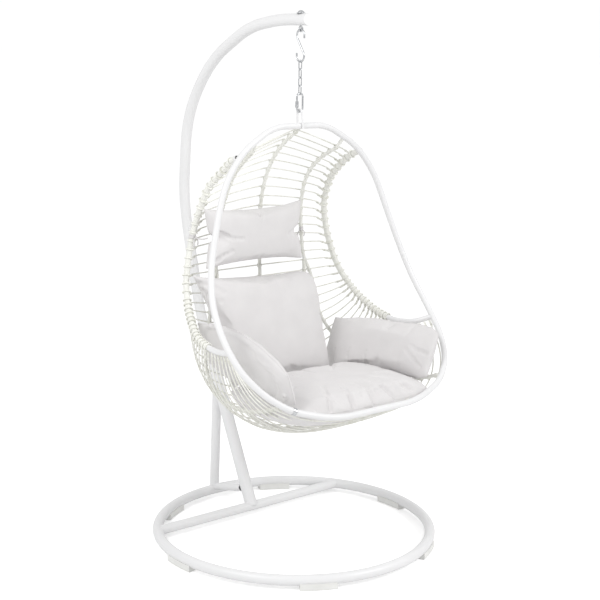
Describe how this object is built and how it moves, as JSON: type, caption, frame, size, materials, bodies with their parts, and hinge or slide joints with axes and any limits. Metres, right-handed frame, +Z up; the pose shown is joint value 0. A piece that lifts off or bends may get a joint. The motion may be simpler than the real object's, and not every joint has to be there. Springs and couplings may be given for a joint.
{
  "type": "hanging egg chair",
  "caption": "Hanging egg chair: corded egg-shaped basket with cushions, hung by hook and chain from a curved tube arm on a ring stand.",
  "frame": {"origin": "on the floor, under the middle of the whole chair", "axes": "+Z up, -Y towards the open front of the basket, +X on the right when facing +Y"},
  "size_m": [1.054, 1.2566, 1.9146],
  "materials": {
    "white_powder_coat": "semi-gloss",
    "bright_zinc": "polished",
    "foot_rubber": "matte",
    "white_plastic": "satin",
    "rattan_cord": "satin",
    "rattan_wrap": "satin",
    "cushion_fabric": "matte"
  },
  "bodies": {
    "stand": {"arm_end_cap": "white_plastic", "arm_joint_bolts": "bright_zinc", "arm_joint_nuts": "bright_zinc", "arm_washer": "bright_zinc", "base_ring": "white_powder_coat", "cross_bar": "white_powder_coat", "dome_nut": "bright_zinc", "eye_bolt": "bright_zinc", "foot_pad_1": "foot_rubber", "foot_pad_2": "foot_rubber", "foot_pad_3": "foot_rubber", "foot_pad_4": "foot_rubber", "foot_pad_5": "foot_rubber", "foot_pad_6": "foot_rubber", "foot_pad_screws": "bright_zinc", "foot_strut": "white_powder_coat", "lower_leg": "white_powder_coat", "rear_post": "white_powder_coat", "upper_arm": "white_powder_coat"},
    "s_hook": {"s_hook": "bright_zinc"},
    "chain_link_1": {"chain_link_1": "bright_zinc"},
    "chain_link_2": {"chain_link_2": "bright_zinc"},
    "chain_link_3": {"chain_link_3": "bright_zinc"},
    "chain_link_4": {"chain_link_4": "bright_zinc"},
    "quick_link": {"quick_link": "bright_zinc"},
    "quick_link_sleeve": {"quick_link_sleeve": "bright_zinc"},
    "basket": {"back_cords": "rattan_cord", "back_cushion": "cushion_fabric", "bowl_cords": "rattan_cord", "centre_rib": "white_powder_coat", "crown_cords": "rattan_cord", "cushion_clip": "bright_zinc", "front_hoop": "white_powder_coat", "hang_loop": "white_powder_coat", "head_pillow": "cushion_fabric", "left_arm_cushion": "cushion_fabric", "left_rim": "white_powder_coat", "left_seat_rib": "white_powder_coat", "left_side_rib": "white_powder_coat", "pillow_ties": "cushion_fabric", "rib_wraps": "rattan_wrap", "right_arm_cushion": "cushion_fabric", "right_rim": "white_powder_coat", "right_seat_rib": "white_powder_coat", "right_side_rib": "white_powder_coat", "rim_wraps": "rattan_wrap", "seat_cords": "rattan_cord", "seat_cushion": "cushion_fabric"}
  },
  "joints": [
    {"name": "hook_swing", "type": "hinge", "parent": "stand", "child": "s_hook", "pos_m": [0, -0.103, 1.8425], "axis": [1, 0, 0], "range_deg": [-25, 12]},
    {"name": "chain_rock", "type": "hinge", "parent": "s_hook", "child": "chain_link_1", "pos_m": [0, -0.103, 1.7383], "axis": [0, 1, 0], "range_deg": [-12, 12]},
    {"name": "chain_turn_1", "type": "hinge", "parent": "chain_link_1", "child": "chain_link_2", "pos_m": [0, -0.103, 1.713], "axis": [0, 0, 1], "range_deg": [-20, 20]},
    {"name": "chain_turn_2", "type": "hinge", "parent": "chain_link_2", "child": "chain_link_3", "pos_m": [0, -0.103, 1.6843], "axis": [0, 0, 1], "range_deg": [-20, 20]},
    {"name": "chain_turn_3", "type": "hinge", "parent": "chain_link_3", "child": "chain_link_4", "pos_m": [0, -0.103, 1.6556], "axis": [0, 0, 1], "range_deg": [-20, 20]},
    {"name": "link_rock", "type": "hinge", "parent": "chain_link_4", "child": "quick_link", "pos_m": [0, -0.103, 1.62475], "axis": [0, 1, 0], "range_deg": [-8, 8]},
    {"name": "sleeve_screw", "type": "slide", "parent": "quick_link", "child": "quick_link_sleeve", "axis": [0, 0, 1], "range_m": [0, 0.0135]},
    {"name": "basket_nod", "type": "hinge", "parent": "quick_link", "child": "basket", "pos_m": [0, -0.103, 1.56525], "axis": [1, 0, 0], "range_deg": [-6, 6]}
  ]
}
